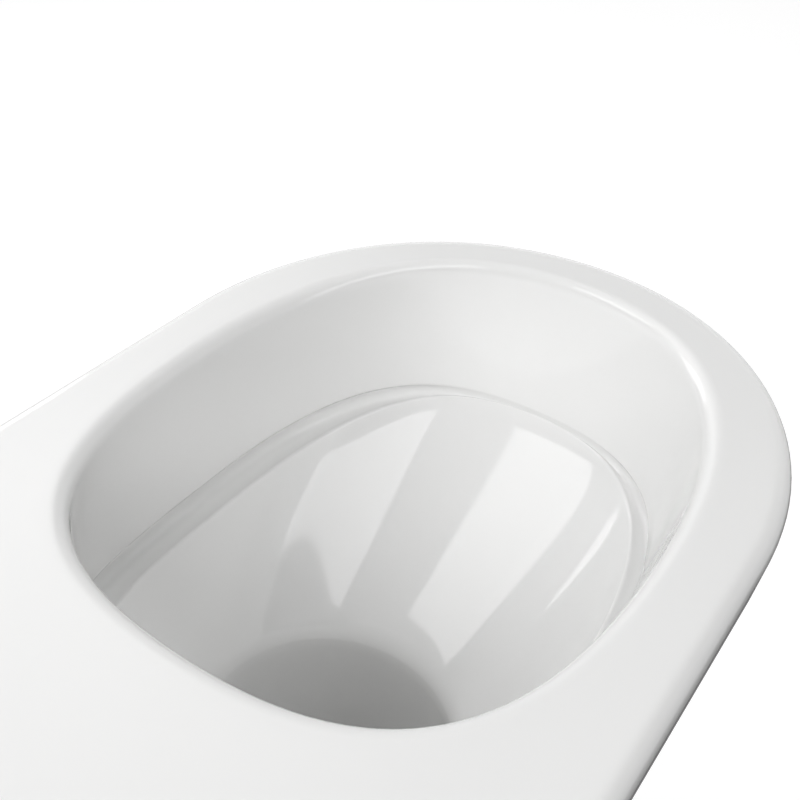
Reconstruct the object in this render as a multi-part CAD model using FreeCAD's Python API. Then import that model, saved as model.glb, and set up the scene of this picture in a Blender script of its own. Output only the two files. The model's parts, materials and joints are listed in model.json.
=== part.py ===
import FreeCAD
import Part
import math
import os

# A wall hung toilet pan with its concealed wall fixing and its pipe connections, in millimetres.
# The wall is the plane y = 0, the nose points to -Y and +Z is up.
# The origin lies midway between the two wall studs.

# Outer form of the pan
PAN_WIDTH = 360.0
PAN_PROJECTION = 540.0
PAN_HEIGHT = 345.0
NOSE_LENGTH = 189.0
NOSE_FULLNESS = 0.563
SIDE_TAPER = 0.5
SIDE_TAPER_POWER = 1.4
NOSE_TUCK = 0.48
NOSE_TUCK_POWER = 1.9
NOSE_SHORTENING = 0.45
RIM_EDGE_RADIUS = 10.0
UNDERSIDE_RADIUS = 25.0
SHELL = 12.0

# Opening and bowl, with depths measured down from the rim
SIDE_RIM = 40.0
NOSE_RIM = 35.0
DECK_LENGTH = 159.0
OPENING_EDGE_RADIUS = 10.0
OPENING_WIDEST_TO_NOSE = 225.0
OPENING_FRONT_FULLNESS = 0.63
OPENING_BACK_FULLNESS = 0.71
WALL_DEPTH = 77.0
SIDE_LEAN = 17.0
FRONT_LEAN = 35.0
BACK_LEAN = 4.0
FOOT_WIDEST_TO_NOSE = 240.0
FOOT_FRONT_FULLNESS = 0.7
FOOT_BACK_FULLNESS = 0.98
CHANNEL_HEIGHT = 16.0
CHANNEL_LEDGE = 9.5
CHANNEL_UNDERCUT = 3.0
FLOOR_CURVE = 0.85
FLOOR_LIP_SHARE = 0.95
SUMP_MOUTH_DEPTH = 165.0
SUMP_MOUTH_WIDTH = 152.0
SUMP_MOUTH_LENGTH = 142.0
SUMP_MOUTH_TO_WALL = 176.0
SUMP_FULLNESS = 0.555
# Share of the sump's depth, and how far its sides have drawn in there.
SUMP_TAPER = ((0.04, 2.0), (0.5, 8.0), (0.9, 14.0), (1.0, 26.0))
SUMP_FRONT_DRAW = 1.2
SUMP_BACK_DRAW = 0.4

# Trap and pipe connections
TRAP_BORE = 64.0
TRAP_WALL = 10.0
TRAP_BEND_SHARE = 0.43
TRAP_CLIMB_DEGREES = 75.0
WEIR_RISE = 15.0
OUTLET_BELOW_RIM = 180.0
OUTLET_BORE = 82.0
SPIGOT_DIAMETER = 102.0
SPIGOT_LENGTH = 34.0
SPIGOT_SETBACK = 30.0
OUTLET_TAPER_LENGTH = 16.0
SOCKET_DEPTH = 28.0
SOCKET_GAP = 4.0
SEAL_SETBACK = 5.0
SEAL_LENGTH = 14.0
WASTE_PIPE_DIAMETER = 90.0
WASTE_PIPE_WALL = 4.0
INLET_BELOW_RIM = 45.0
INLET_BORE = 55.0
FLUSH_PIPE_DIAMETER = 45.0
FLUSH_PIPE_WALL = 2.5
FLUSH_PIPE_INSERTION = 66.0
INLET_SEAL_LENGTH = 32.0
SPREADER_WALL = 3.0
SPREADER_TUBE_LENGTH = 45.0
SPREADER_GAP = 6.0
SPREADER_POSTS = (0, 180, 270)
PIPE_BEYOND_WALL = 70.0
PIPE_CHAMFER = 1.5
STOP_BEAD_HEIGHT = 1.5
STOP_BEAD_LENGTH = 3.0
STOP_BEAD_TO_WALL = 1.0

# Seat hinge holes in the deck
HINGE_HOLE_SPACING = 155.0
HINGE_HOLE_DIAMETER = 15.0
HINGE_TO_WALL = 100.0

# Wall fixing
STUDS_BELOW_RIM = 80.0
STUD_SPACING = 180.0
STUD_DIAMETER = 12.0
STUD_SHANK_DIAMETER = 11.5
STUD_PAST_NUT = 3.0
STUD_BEYOND_WALL = 60.0
MAT_THICKNESS = 4.0
BLOCK_DIAMETER = 36.0
BLOCK_LENGTH = 78.0
BLOCK_FLAT_DEPTH = 2.0
NUT_RECESS = 5.5
POCKET_WALL = 10.0
SLEEVE_THICKNESS = 2.0
SIDE_SCREW_TO_WALL = 40.0
SIDE_SCREW_DIAMETER = 10.0
SIDE_SCREW_HEAD_DIAMETER = 15.0
SIDE_SCREW_HEAD_LENGTH = 8.0
SIDE_SCREW_KEY = 6.0
SIDE_SCREW_KEY_DEPTH = 5.0
SIDE_HOLE_DIAMETER = 18.0
SIDE_CAP_DIAMETER = 24.0
CAP_STEM_LENGTH = 3.0
CAP_STEM_WALL = 2.0
CAP_TO_SCREW = 1.0
CAP_SEAT_DEPTH = 5.5
NUT_ACROSS_FLATS = 18.0
NUT_THICKNESS = 10.0
WASHER_DIAMETER = 24.0
WASHER_THICKNESS = 2.5

# Clearances
PUSH_FIT = 0.1
SEAL_FIT = 0.2
FREE_FIT = 0.3
THREAD_FIT = 0.05

# Values that follow from the sizes above
RIM_Z = STUDS_BELOW_RIM
BOTTOM_Z = RIM_Z - PAN_HEIGHT
REAR_Y = -MAT_THICKNESS
OUTLET_Z = RIM_Z - OUTLET_BELOW_RIM
INLET_Z = RIM_Z - INLET_BELOW_RIM
OPENING_FRONT_Y = NOSE_RIM - PAN_PROJECTION
OPENING_BACK_Y = -DECK_LENGTH
OPENING_WIDEST_Y = OPENING_WIDEST_TO_NOSE - PAN_PROJECTION
FOOT_WIDEST_Y = FOOT_WIDEST_TO_NOSE - PAN_PROJECTION
INLET_WALL_Y = OPENING_BACK_Y - BACK_LEAN * INLET_BELOW_RIM / WALL_DEPTH
CHANNEL_DEPTH = WALL_DEPTH + CHANNEL_HEIGHT
SUMP_DEPTH = PAN_HEIGHT - 2.25 * SHELL
SUMP_BACK_Y = -SUMP_MOUTH_TO_WALL
SUMP_FRONT_Y = SUMP_BACK_Y - SUMP_MOUTH_LENGTH
SPIGOT_END_Y = -SPIGOT_SETBACK
SOCKET_RADIUS = SPIGOT_DIAMETER / 2 + SOCKET_GAP
POCKET_RADIUS = BLOCK_DIAMETER / 2 + SLEEVE_THICKNESS
STUD_XS = (-STUD_SPACING / 2, STUD_SPACING / 2)
NUT_SEAT_Y = -BLOCK_LENGTH + NUT_THICKNESS + WASHER_THICKNESS + NUT_RECESS
STUD_END_Y = NUT_SEAT_Y - WASHER_THICKNESS - NUT_THICKNESS - STUD_PAST_NUT
BLOCK_FLAT = BLOCK_DIAMETER / 2 - BLOCK_FLAT_DEPTH
SIDE_REACH = PAN_WIDTH / 2 * (1 - SIDE_TAPER * (STUDS_BELOW_RIM / PAN_HEIGHT) ** SIDE_TAPER_POWER)
CAP_SEAT_X = SIDE_REACH - CAP_SEAT_DEPTH
HEAD_SEAT_X = CAP_SEAT_X - CAP_STEM_LENGTH - CAP_TO_SCREW - SIDE_SCREW_HEAD_LENGTH

X_AXIS = FreeCAD.Vector(1, 0, 0)
Y_AXIS = FreeCAD.Vector(0, 1, 0)
Z_AXIS = FreeCAD.Vector(0, 0, 1)


def point(x, y, z):
    return FreeCAD.Vector(x, y, z)


def rod(radius, start, end):
    """A cylinder between two points."""
    run = end - start
    return Part.makeCylinder(radius, run.Length, start, run)


def tube(outer, inner, start, end):
    """A straight pipe between two points."""
    return rod(outer, start, end).cut(rod(inner, start, end))


def quarter(start, end, corner, fullness):
    """A quarter-oval edge between two points, drawn towards the corner where its end tangents meet."""
    curve = Part.BezierCurve()
    curve.setPoles([start, start + (corner - start) * fullness, end + (corner - end) * fullness, end])
    return curve.toShape()


def body_outline(share, offset=0.0, rear=REAR_Y):
    """The pan's plan at a share of its height below the rim, drawn in by an offset."""
    half = PAN_WIDTH / 2 * (1 - SIDE_TAPER * share**SIDE_TAPER_POWER) - offset * (1 + 0.15 * share)
    nose = -PAN_PROJECTION * (1 - NOSE_TUCK * share**NOSE_TUCK_POWER) + offset * (1 + 0.9 * share)
    side_end = nose + NOSE_LENGTH * (1 - NOSE_SHORTENING * share**2) - offset
    z = RIM_Z - share * PAN_HEIGHT
    tip = point(0, nose, z)
    right_rear, right_side = point(half, rear, z), point(half, side_end, z)
    left_rear, left_side = point(-half, rear, z), point(-half, side_end, z)
    edges = (
        Part.makeLine(left_rear, right_rear),
        Part.makeLine(right_rear, right_side),
        quarter(right_side, tip, point(half, nose, z), NOSE_FULLNESS),
        quarter(tip, left_side, point(-half, nose, z), NOSE_FULLNESS),
        Part.makeLine(left_side, left_rear),
    )
    return Part.Wire(edges)


def rim_edges(shape, z):
    """The edges of a horizontal face at one height, without the one along the wall."""
    found = []
    for edge in shape.Edges:
        box = edge.BoundBox
        level = abs(box.ZMin - z) < 0.01 and abs(box.ZMax - z) < 0.01
        if level and box.YMin < REAR_Y - 1:
            found.append(edge)
    return found


def body():
    """The pan's solid outer form."""
    shares = (0, 0.12, 0.25, 0.38, 0.52, 0.66, 0.8, 0.91, 1)
    form = Part.makeLoft([body_outline(s) for s in shares], True, False)
    form = form.makeFillet(RIM_EDGE_RADIUS, rim_edges(form, RIM_Z))
    return form.makeFillet(UNDERSIDE_RADIUS, rim_edges(form, BOTTOM_Z))


def body_hollow():
    """The space inside the cast skirt, open at the wall."""
    top = SHELL / PAN_HEIGHT
    bottom = 1 - top
    shares = [top + (bottom - top) * i / 6 for i in range(7)]
    outlines = [body_outline(s, SHELL, REAR_Y + SHELL) for s in shares]
    return Part.makeLoft(outlines, True, False)


def egg_outline(depth, half, front, back, widest, front_fullness, back_fullness):
    """A closed plan curve with its own fullness in front and behind."""
    z = RIM_Z - depth
    front_tip, back_tip = point(0, front, z), point(0, back, z)
    right, left = point(half, widest, z), point(-half, widest, z)
    edges = (
        quarter(front_tip, right, point(half, front, z), front_fullness),
        quarter(right, back_tip, point(half, back, z), back_fullness),
        quarter(back_tip, left, point(-half, back, z), back_fullness),
        quarter(left, front_tip, point(-half, front, z), front_fullness),
    )
    return Part.Wire(edges)


def wall_row(depth, grow):
    """The leaning inner wall's plan at a depth, swollen by a wall thickness, as egg_outline takes it."""
    fall = depth / WALL_DEPTH
    share = min(max(fall, 0), 1)
    return (
        depth,
        PAN_WIDTH / 2 - SIDE_RIM - SIDE_LEAN * fall + grow,
        OPENING_FRONT_Y + FRONT_LEAN * fall - grow,
        OPENING_BACK_Y - BACK_LEAN * fall + grow,
        OPENING_WIDEST_Y + (FOOT_WIDEST_Y - OPENING_WIDEST_Y) * share,
        OPENING_FRONT_FULLNESS + (FOOT_FRONT_FULLNESS - OPENING_FRONT_FULLNESS) * share,
        OPENING_BACK_FULLNESS + (FOOT_BACK_FULLNESS - OPENING_BACK_FULLNESS) * share,
    )


def floor_row(share, grow):
    """The bowl's plan at a share of the way from the flush channel to the mouth of the sump."""
    start = ledge_row(grow)
    mouth = sump_row(0, 0, grow)
    depth = CHANNEL_DEPTH + (SUMP_MOUTH_DEPTH - CHANNEL_DEPTH) * share**FLOOR_CURVE + 0.7 * grow * share
    return (depth, *(a + (b - a) * share for a, b in zip(start[1:], mouth[1:])))


def sump_row(share, draw, grow):
    """The sump's plan at a share of its depth, drawn in from its mouth."""
    depth = SUMP_MOUTH_DEPTH + (SUMP_DEPTH - SUMP_MOUTH_DEPTH) * share + grow * (0.7 + 0.3 * share)
    half = SUMP_MOUTH_WIDTH / 2 - draw + grow
    front = SUMP_FRONT_Y + SUMP_FRONT_DRAW * draw - grow
    back = SUMP_BACK_Y - SUMP_BACK_DRAW * draw + grow
    return depth, half, front, back, (front + back) / 2, SUMP_FULLNESS, SUMP_FULLNESS


def blend(rows, weights):
    """A row between others, by weight."""
    return [sum(w * v for w, v in zip(weights, values)) for values in zip(*rows)]


def channel_row(grow):
    """The flush channel's plan at half its height, where it reaches behind the wall's foot at the sides."""
    depth, half, front, back, *plan = wall_row(WALL_DEPTH, grow)
    return (depth + CHANNEL_HEIGHT / 2, half + CHANNEL_UNDERCUT, front, back, *plan)


def ledge_row(grow):
    """The lower edge of the flush channel, which stands in from the wall's foot except at the nose."""
    depth, half, front, back, *plan = wall_row(WALL_DEPTH, grow)
    return (depth + CHANNEL_HEIGHT, half - CHANNEL_LEDGE, front, back - CHANNEL_LEDGE, *plan)


def bowl_loft(rows):
    return Part.makeLoft([egg_outline(*row) for row in rows], True, False)


def bowl_space():
    """The open space of the bowl: leaning wall, flush channel, floor, rounded lip and sump."""
    wall_foot = wall_row(WALL_DEPTH, 0.0)
    floor = [floor_row(share, 0.0) for share in (0, 0.3, 0.6, FLOOR_LIP_SHARE)]
    sump = [sump_row(share, draw, 0.0) for share, draw in SUMP_TAPER]
    lip = blend((floor[-1], floor_row(1, 0.0), sump[0]), (0.25, 0.5, 0.25))
    stages = (
        (wall_row(-SHELL, 0.0), wall_foot),
        (wall_foot, channel_row(0.0), ledge_row(0.0)),
        floor,
        (floor[-1], lip, sump[0]),
        sump,
    )
    lofts = [bowl_loft(rows) for rows in stages]
    return lofts[0].fuse(lofts[1:])


def bowl_envelope():
    """The bowl's outside, one wall thickness larger than its open space."""
    rows = [wall_row(-SHELL, SHELL), wall_row(WALL_DEPTH, SHELL), channel_row(SHELL)]
    rows += [floor_row(share, SHELL) for share in (0, 0.3, 0.6, 1)]
    rows += [sump_row(share, draw, SHELL) for share, draw in SUMP_TAPER]
    return Part.makeLoft([egg_outline(*row) for row in rows], True, True)


def trap_path():
    """The trap's centre line: throat, rise to the weir, and fall to the outlet."""
    throat_z = RIM_Z - SUMP_DEPTH + TRAP_BORE / 2 + 1
    crest_z = OUTLET_Z + WEIR_RISE
    rise = crest_z - throat_z
    climb = math.radians(TRAP_CLIMB_DEGREES)
    bend = TRAP_BEND_SHARE * rise
    slope = (rise - 2 * bend * (1 - math.cos(climb))) / math.sin(climb)
    fall = math.acos(1 - WEIR_RISE / (2 * bend))

    edges = []
    end_straight = point(0, SPIGOT_END_Y - SHELL / 3, OUTLET_Z)
    edges.append(Part.makeLine(point(0, SPIGOT_END_Y + SPIGOT_LENGTH, OUTLET_Z), end_straight))

    def turn(start, heading, angle, up):
        """An arc that starts at a point, runs towards -Y on a heading, and turns up or down."""
        side = 1 if up else -1
        centre = start + point(0, math.sin(heading) * side, math.cos(heading) * side) * bend
        places = []
        for share in (0.5, 1):
            now = heading + side * angle * share
            places.append(centre - point(0, math.sin(now) * side, math.cos(now) * side) * bend)
        edges.append(Part.Arc(start, places[0], places[1]).toShape())
        return places[1], heading + side * angle

    here, heading = turn(end_straight, 0.0, fall, True)
    here, heading = turn(here, heading, fall + climb, False)
    foot = here + point(0, -math.cos(heading), math.sin(heading)) * slope
    edges.append(Part.makeLine(here, foot))
    here, heading = turn(foot, heading, climb, True)
    start = point(0, (SUMP_FRONT_Y + SUMP_BACK_Y) / 2, throat_z)
    edges.append(Part.makeLine(here, start))
    return Part.Wire(edges)


def trap_pipe(radius):
    """A round pipe along the trap's centre line."""
    path = trap_path()
    start = point(0, SPIGOT_END_Y + SPIGOT_LENGTH, OUTLET_Z)
    ring = Part.Wire([Part.makeCircle(radius, start, Y_AXIS)])
    pipe = path.makePipeShell([ring], True, False)
    spare = rod(3 * radius, point(0, SPIGOT_END_Y, OUTLET_Z), point(0, PIPE_BEYOND_WALL, OUTLET_Z))
    return pipe.cut(spare)


def pan_bosses():
    """The solid ceramic around the trap, the connections, the fixing pockets and the hinge holes."""
    spigot_end = point(0, SPIGOT_END_Y, OUTLET_Z)
    spigot = rod(SPIGOT_DIAMETER / 2, spigot_end - Y_AXIS * SPIGOT_LENGTH, spigot_end)
    inlet = rod(INLET_BORE / 2 + SHELL, point(0, OPENING_BACK_Y - 2, INLET_Z), point(0, REAR_Y, INLET_Z))
    found = [trap_pipe(TRAP_BORE / 2 + TRAP_WALL), spigot, inlet]
    hinge_thickness = 2 * SHELL
    for side in (-1, 1):
        x = side * STUD_SPACING / 2
        pocket_end = point(x, -BLOCK_LENGTH - SHELL, 0)
        found.append(rod(POCKET_RADIUS + POCKET_WALL, pocket_end, point(x, REAR_Y, 0)))
        skirt = side * (SIDE_REACH - SHELL / 2)
        found.append(
            rod(SIDE_HOLE_DIAMETER, point(x, -SIDE_SCREW_TO_WALL, 0), point(skirt, -SIDE_SCREW_TO_WALL, 0))
        )
        hinge_x = side * HINGE_HOLE_SPACING / 2
        found.append(
            rod(
                1.5 * HINGE_HOLE_DIAMETER,
                point(hinge_x, -HINGE_TO_WALL, RIM_Z - hinge_thickness),
                point(hinge_x, -HINGE_TO_WALL, RIM_Z - SHELL / 2),
            )
        )
    return found


def pan_bores():
    """Every passage and hole through the ceramic."""
    past_rear = point(0, PIPE_BEYOND_WALL, 0)
    outlet = point(0, SPIGOT_END_Y, OUTLET_Z)
    taper_start = outlet - Y_AXIS * OUTLET_TAPER_LENGTH
    found = [
        trap_pipe(TRAP_BORE / 2),
        Part.makeCone(TRAP_BORE / 2, OUTLET_BORE / 2, OUTLET_TAPER_LENGTH, taper_start, Y_AXIS),
        rod(INLET_BORE / 2, point(0, OPENING_BACK_Y - 2 * SHELL, INLET_Z), past_rear + Z_AXIS * INLET_Z),
    ]
    for side in (-1, 1):
        x = side * STUD_SPACING / 2
        found.append(rod(POCKET_RADIUS, point(x, -BLOCK_LENGTH - 2 * SHELL, 0), point(x, 0, 0)))
        hole_start = point(x + side * BLOCK_DIAMETER / 2, -SIDE_SCREW_TO_WALL, 0)
        found.append(rod(SIDE_HOLE_DIAMETER / 2, hole_start, point(side * PAN_WIDTH, -SIDE_SCREW_TO_WALL, 0)))
        seat = point(side * CAP_SEAT_X, -SIDE_SCREW_TO_WALL, 0)
        found.append(
            rod(SIDE_CAP_DIAMETER / 2 + FREE_FIT, seat, point(side * PAN_WIDTH, -SIDE_SCREW_TO_WALL, 0))
        )
        hinge_x = side * HINGE_HOLE_SPACING / 2
        found.append(
            rod(
                HINGE_HOLE_DIAMETER / 2,
                point(hinge_x, -HINGE_TO_WALL, RIM_Z - 3 * SHELL),
                point(hinge_x, -HINGE_TO_WALL, RIM_Z + SHELL),
            )
        )
    return found


def opening_edge(shape):
    """The edge where the bowl's wall meets the flat rim."""
    found = []
    for edge in shape.Edges:
        box = edge.BoundBox
        level = abs(box.ZMin - RIM_Z) < 0.01 and abs(box.ZMax - RIM_Z) < 0.01
        inside = box.XLength < PAN_WIDTH - SIDE_RIM and box.YMax < OPENING_BACK_Y + 1
        if level and inside and box.YLength > HINGE_HOLE_DIAMETER + 1:
            found.append(edge)
    return found


def ceramic_pan(form):
    """The one-piece ceramic casting."""
    hollow = body_hollow().cut(bowl_envelope())
    for boss in pan_bosses():
        hollow = hollow.cut(boss)
    pan = form.cut(hollow)
    pan = pan.cut(bowl_space())
    pan = pan.makeFillet(OPENING_EDGE_RADIUS, opening_edge(pan))
    for bore in pan_bores():
        pan = pan.cut(bore)
    return pan


def flush_spreader():
    """A plastic tube in the inlet with a shield that turns the water along both sides of the bowl."""
    radius = INLET_BORE / 2 - PUSH_FIT
    mouth = point(0, INLET_WALL_Y, INLET_Z)
    shield = mouth - Y_AXIS * SPREADER_GAP
    inlet_end = mouth + Y_AXIS * SPREADER_TUBE_LENGTH
    inner = radius - SPREADER_WALL
    sleeve = tube(radius, inner, mouth - Y_AXIS * SHELL, inlet_end)
    disc = rod(inner, shield - Y_AXIS * SPREADER_WALL, shield)
    open_corner = shield + point(-inner, -SPREADER_GAP, inner / 2)
    open_top = Part.makeBox(2 * inner, 2 * SPREADER_GAP, inner, open_corner)
    pieces = [disc.cut(open_top)]
    for degrees in SPREADER_POSTS:
        angle = math.radians(degrees)
        lift = point(math.cos(angle), 0, math.sin(angle)) * inner
        post_end = mouth + lift + Y_AXIS * SHELL
        pieces.append(rod(SPREADER_WALL / 2, shield + lift - Y_AXIS * SPREADER_WALL, post_end))
    return sleeve.cut(bowl_space()).fuse(pieces).removeSplitter()


def inlet_seal():
    """A rubber sleeve with a flange that closes the gap round the flush pipe."""
    inner = FLUSH_PIPE_DIAMETER / 2 + SEAL_FIT
    front = point(0, REAR_Y - INLET_SEAL_LENGTH, INLET_Z)
    rear = point(0, REAR_Y, INLET_Z)
    sleeve = tube(INLET_BORE / 2 - SEAL_FIT, inner, front, rear)
    flange = tube(INLET_BORE / 2 + SHELL / 2, inner, rear, point(0, -FREE_FIT, INLET_Z))
    return sleeve.fuse(flange).removeSplitter()


def chamfered_pipe(outer, inner, start, end):
    """A straight pipe whose far end is chamfered outside, so that it slides into a seal."""
    pipe = tube(outer, inner, start, end)
    last = [edge for edge in pipe.Edges if abs(edge.CenterOfMass.y - end.y) < 0.01]
    rim = max(last, key=lambda edge: edge.Length)
    return pipe.makeChamfer(PIPE_CHAMFER, [rim])


def stop_bead(outer, inner, z):
    """A raised ring on a pipe, just inside the wall, that limits how far the wall's own bend slides on."""
    start = point(0, STOP_BEAD_TO_WALL, z)
    return tube(outer + STOP_BEAD_HEIGHT, inner, start, start + Y_AXIS * STOP_BEAD_LENGTH)


def flush_pipe():
    """The straight pipe that brings the flush water through the wall."""
    outer = FLUSH_PIPE_DIAMETER / 2
    inner = outer - FLUSH_PIPE_WALL
    front = point(0, REAR_Y - FLUSH_PIPE_INSERTION, INLET_Z)
    pipe = chamfered_pipe(outer, inner, front, point(0, PIPE_BEYOND_WALL, INLET_Z))
    return pipe.fuse(stop_bead(outer, inner, INLET_Z)).removeSplitter()


def outlet_seal():
    """A rubber ring between the ceramic spigot and the connector's socket."""
    rear = point(0, SPIGOT_END_Y - SEAL_SETBACK, OUTLET_Z)
    return tube(SOCKET_RADIUS - SEAL_FIT, SPIGOT_DIAMETER / 2 + SEAL_FIT, rear - Y_AXIS * SEAL_LENGTH, rear)


def waste_connector():
    """A socket over the spigot that steps down to the waste pipe through the wall."""
    wall = WASTE_PIPE_WALL
    pipe_radius = WASTE_PIPE_DIAMETER / 2
    rim = point(0, SPIGOT_END_Y - SOCKET_DEPTH, OUTLET_Z)
    seat = point(0, SPIGOT_END_Y + FREE_FIT, OUTLET_Z)
    shoulder = seat + Y_AXIS * wall
    socket = tube(SOCKET_RADIUS + wall, SOCKET_RADIUS, rim, shoulder)
    step = tube(SOCKET_RADIUS + wall, pipe_radius - wall, seat, shoulder)
    pipe = chamfered_pipe(pipe_radius, pipe_radius - wall, seat, point(0, PIPE_BEYOND_WALL, OUTLET_Z))
    bead = stop_bead(pipe_radius, pipe_radius - wall, OUTLET_Z)
    return socket.fuse([step, pipe, bead]).removeSplitter()


def sound_mat(form):
    """A foam sheet of the pan's rear outline with holes for the pipes and the fixing."""
    box = form.BoundBox
    cut_y = REAR_Y - 2 * MAT_THICKNESS
    slab = Part.makeBox(box.XLength, MAT_THICKNESS, box.ZLength, point(box.XMin, cut_y, box.ZMin))
    mat = form.common(slab)
    mat.translate(Y_AXIS * (REAR_Y - cut_y))
    holes = [
        (WASTE_PIPE_DIAMETER / 2 + STOP_BEAD_HEIGHT + FREE_FIT, point(0, 0, OUTLET_Z)),
        (INLET_BORE / 2 + SHELL / 2 + FREE_FIT, point(0, 0, INLET_Z)),
    ]
    for x in STUD_XS:
        holes.append((BLOCK_DIAMETER / 2 + FREE_FIT, point(x, 0, 0)))
    for radius, centre in holes:
        mat = mat.cut(rod(radius, centre - Y_AXIS * 2 * MAT_THICKNESS, centre + Y_AXIS * MAT_THICKNESS))
    return mat


def stud_point(side, y):
    """A point on the middle line of the stud on one side."""
    return point(side * STUD_SPACING / 2, y, 0)


def wall_stud(side):
    """A threaded rod that stands out of the wall."""
    shank = rod(STUD_SHANK_DIAMETER / 2, stud_point(side, STUD_END_Y), stud_point(side, 0))
    wall_end = rod(STUD_DIAMETER / 2, stud_point(side, 0), stud_point(side, STUD_BEYOND_WALL))
    return shank.fuse(wall_end).removeSplitter()


def fixing_block(side):
    """A block on the stud, with a nut seat in front and a threaded hole in its outer side."""
    front, rear = stud_point(side, -BLOCK_LENGTH), stud_point(side, 0)
    block = rod(BLOCK_DIAMETER / 2, front, rear)
    block = block.cut(rod(STUD_SHANK_DIAMETER / 2 + PUSH_FIT, front, rear))
    block = block.cut(rod(WASHER_DIAMETER / 2 + FREE_FIT, front, stud_point(side, NUT_SEAT_Y)))
    screw_line = stud_point(side, -SIDE_SCREW_TO_WALL)
    hole_radius = SIDE_SCREW_DIAMETER / 2 + THREAD_FIT
    hole = rod(hole_radius, screw_line, screw_line + X_AXIS * side * BLOCK_DIAMETER)
    flat = Part.makeBox(
        BLOCK_DIAMETER,
        2 * SIDE_HOLE_DIAMETER,
        BLOCK_DIAMETER,
        point(-BLOCK_DIAMETER / 2, -SIDE_HOLE_DIAMETER, -BLOCK_DIAMETER / 2),
    )
    flat.translate(screw_line + X_AXIS * side * (BLOCK_FLAT + BLOCK_DIAMETER / 2))
    return block.cut(hole).cut(flat)


def block_sleeve(side):
    """A plastic liner between a block and its ceramic pocket."""
    liner = tube(
        POCKET_RADIUS - PUSH_FIT,
        BLOCK_DIAMETER / 2 + PUSH_FIT,
        stud_point(side, -BLOCK_LENGTH),
        stud_point(side, REAR_Y - SLEEVE_THICKNESS),
    )
    screw_line = stud_point(side, -SIDE_SCREW_TO_WALL)
    return liner.cut(rod(SIDE_HOLE_DIAMETER / 2, screw_line, screw_line + X_AXIS * side * BLOCK_DIAMETER))


def stud_washer(side):
    """A washer under a stud nut."""
    rear = stud_point(side, NUT_SEAT_Y)
    hole_radius = STUD_SHANK_DIAMETER / 2 + PUSH_FIT
    return tube(WASHER_DIAMETER / 2, hole_radius, rear - Y_AXIS * WASHER_THICKNESS, rear)


def hexagon(flats, start, end):
    """A six-sided bar between two points."""
    run = end - start
    sideways = Z_AXIS
    across = run.cross(sideways).normalize()
    corners = []
    for i in range(7):
        angle = math.radians(60 * i)
        reach = flats / math.sqrt(3)
        corners.append(start + sideways * reach * math.cos(angle) + across * reach * math.sin(angle))
    return Part.Face(Part.makePolygon(corners)).extrude(run)


def stud_nut(side):
    """A hexagon nut that holds a block on its stud."""
    seat = stud_point(side, NUT_SEAT_Y - WASHER_THICKNESS)
    front = seat - Y_AXIS * NUT_THICKNESS
    nut = hexagon(NUT_ACROSS_FLATS, seat, front)
    return nut.cut(rod(STUD_SHANK_DIAMETER / 2 + PUSH_FIT, seat, front))


def clamp_bush(side):
    """A bush that sits in a ceramic side tube between the block and the screw's head."""
    start = stud_point(side, -SIDE_SCREW_TO_WALL) + X_AXIS * side * BLOCK_FLAT
    end = point(side * HEAD_SEAT_X, -SIDE_SCREW_TO_WALL, 0)
    outer = SIDE_HOLE_DIAMETER / 2 - PUSH_FIT
    return tube(outer, SIDE_SCREW_DIAMETER / 2 + PUSH_FIT, start, end)


def clamp_screw(side):
    """A socket-head screw that pins the pan to its block from the side."""
    line = point(0, -SIDE_SCREW_TO_WALL, 0)
    tip = line + X_AXIS * side * (STUD_SPACING / 2 + STUD_DIAMETER / 2 + FREE_FIT)
    seat = line + X_AXIS * side * (HEAD_SEAT_X + PUSH_FIT)
    end = seat + X_AXIS * side * SIDE_SCREW_HEAD_LENGTH
    head = rod(SIDE_SCREW_HEAD_DIAMETER / 2, seat, end)
    screw = rod(SIDE_SCREW_DIAMETER / 2, tip, end).fuse(head).removeSplitter()
    return screw.cut(hexagon(SIDE_SCREW_KEY, end - X_AXIS * side * SIDE_SCREW_KEY_DEPTH, end))


def side_cap(side, form):
    """A cap that presses into the side hole, covers the screw and lies flush with the pan's side."""
    line = point(0, -SIDE_SCREW_TO_WALL, 0)
    seat = line + X_AXIS * side * (CAP_SEAT_X + PUSH_FIT)
    stem = seat - X_AXIS * side * CAP_STEM_LENGTH
    disc = rod(SIDE_CAP_DIAMETER / 2, seat, line + X_AXIS * side * PAN_WIDTH).common(form)
    stem_radius = SIDE_HOLE_DIAMETER / 2 - PUSH_FIT
    return disc.fuse(tube(stem_radius, stem_radius - CAP_STEM_WALL, stem, seat)).removeSplitter()


def main():
    form = body()
    nodes = {
        "ceramic_pan": ceramic_pan(form),
        "flush_spreader": flush_spreader(),
        "inlet_seal": inlet_seal(),
        "flush_pipe": flush_pipe(),
        "outlet_seal": outlet_seal(),
        "waste_connector": waste_connector(),
        "sound_mat": sound_mat(form),
    }
    for name, side in (("right", 1), ("left", -1)):
        nodes[name + "_wall_stud"] = wall_stud(side)
        nodes[name + "_fixing_block"] = fixing_block(side)
        nodes[name + "_block_sleeve"] = block_sleeve(side)
        nodes[name + "_stud_washer"] = stud_washer(side)
        nodes[name + "_stud_nut"] = stud_nut(side)
        nodes[name + "_clamp_bush"] = clamp_bush(side)
        nodes[name + "_clamp_screw"] = clamp_screw(side)
        nodes[name + "_side_cap"] = side_cap(side, form)

    os.makedirs("parts", exist_ok=True)
    for name, shape in nodes.items():
        shape.exportStep(os.path.join("parts", name + ".step"))
        print(name, len(shape.Solids), shape.isValid(), round(shape.Volume / 1000, 2), "cm3")


if __name__ == "__main__":
    main()
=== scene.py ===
import json
import math
from collections import namedtuple

import bmesh
import bpy
from bpy.props import FloatProperty, FloatVectorProperty, PointerProperty
from mathutils import Matrix, Vector
from mathutils.geometry import interpolate_bezier


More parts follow.
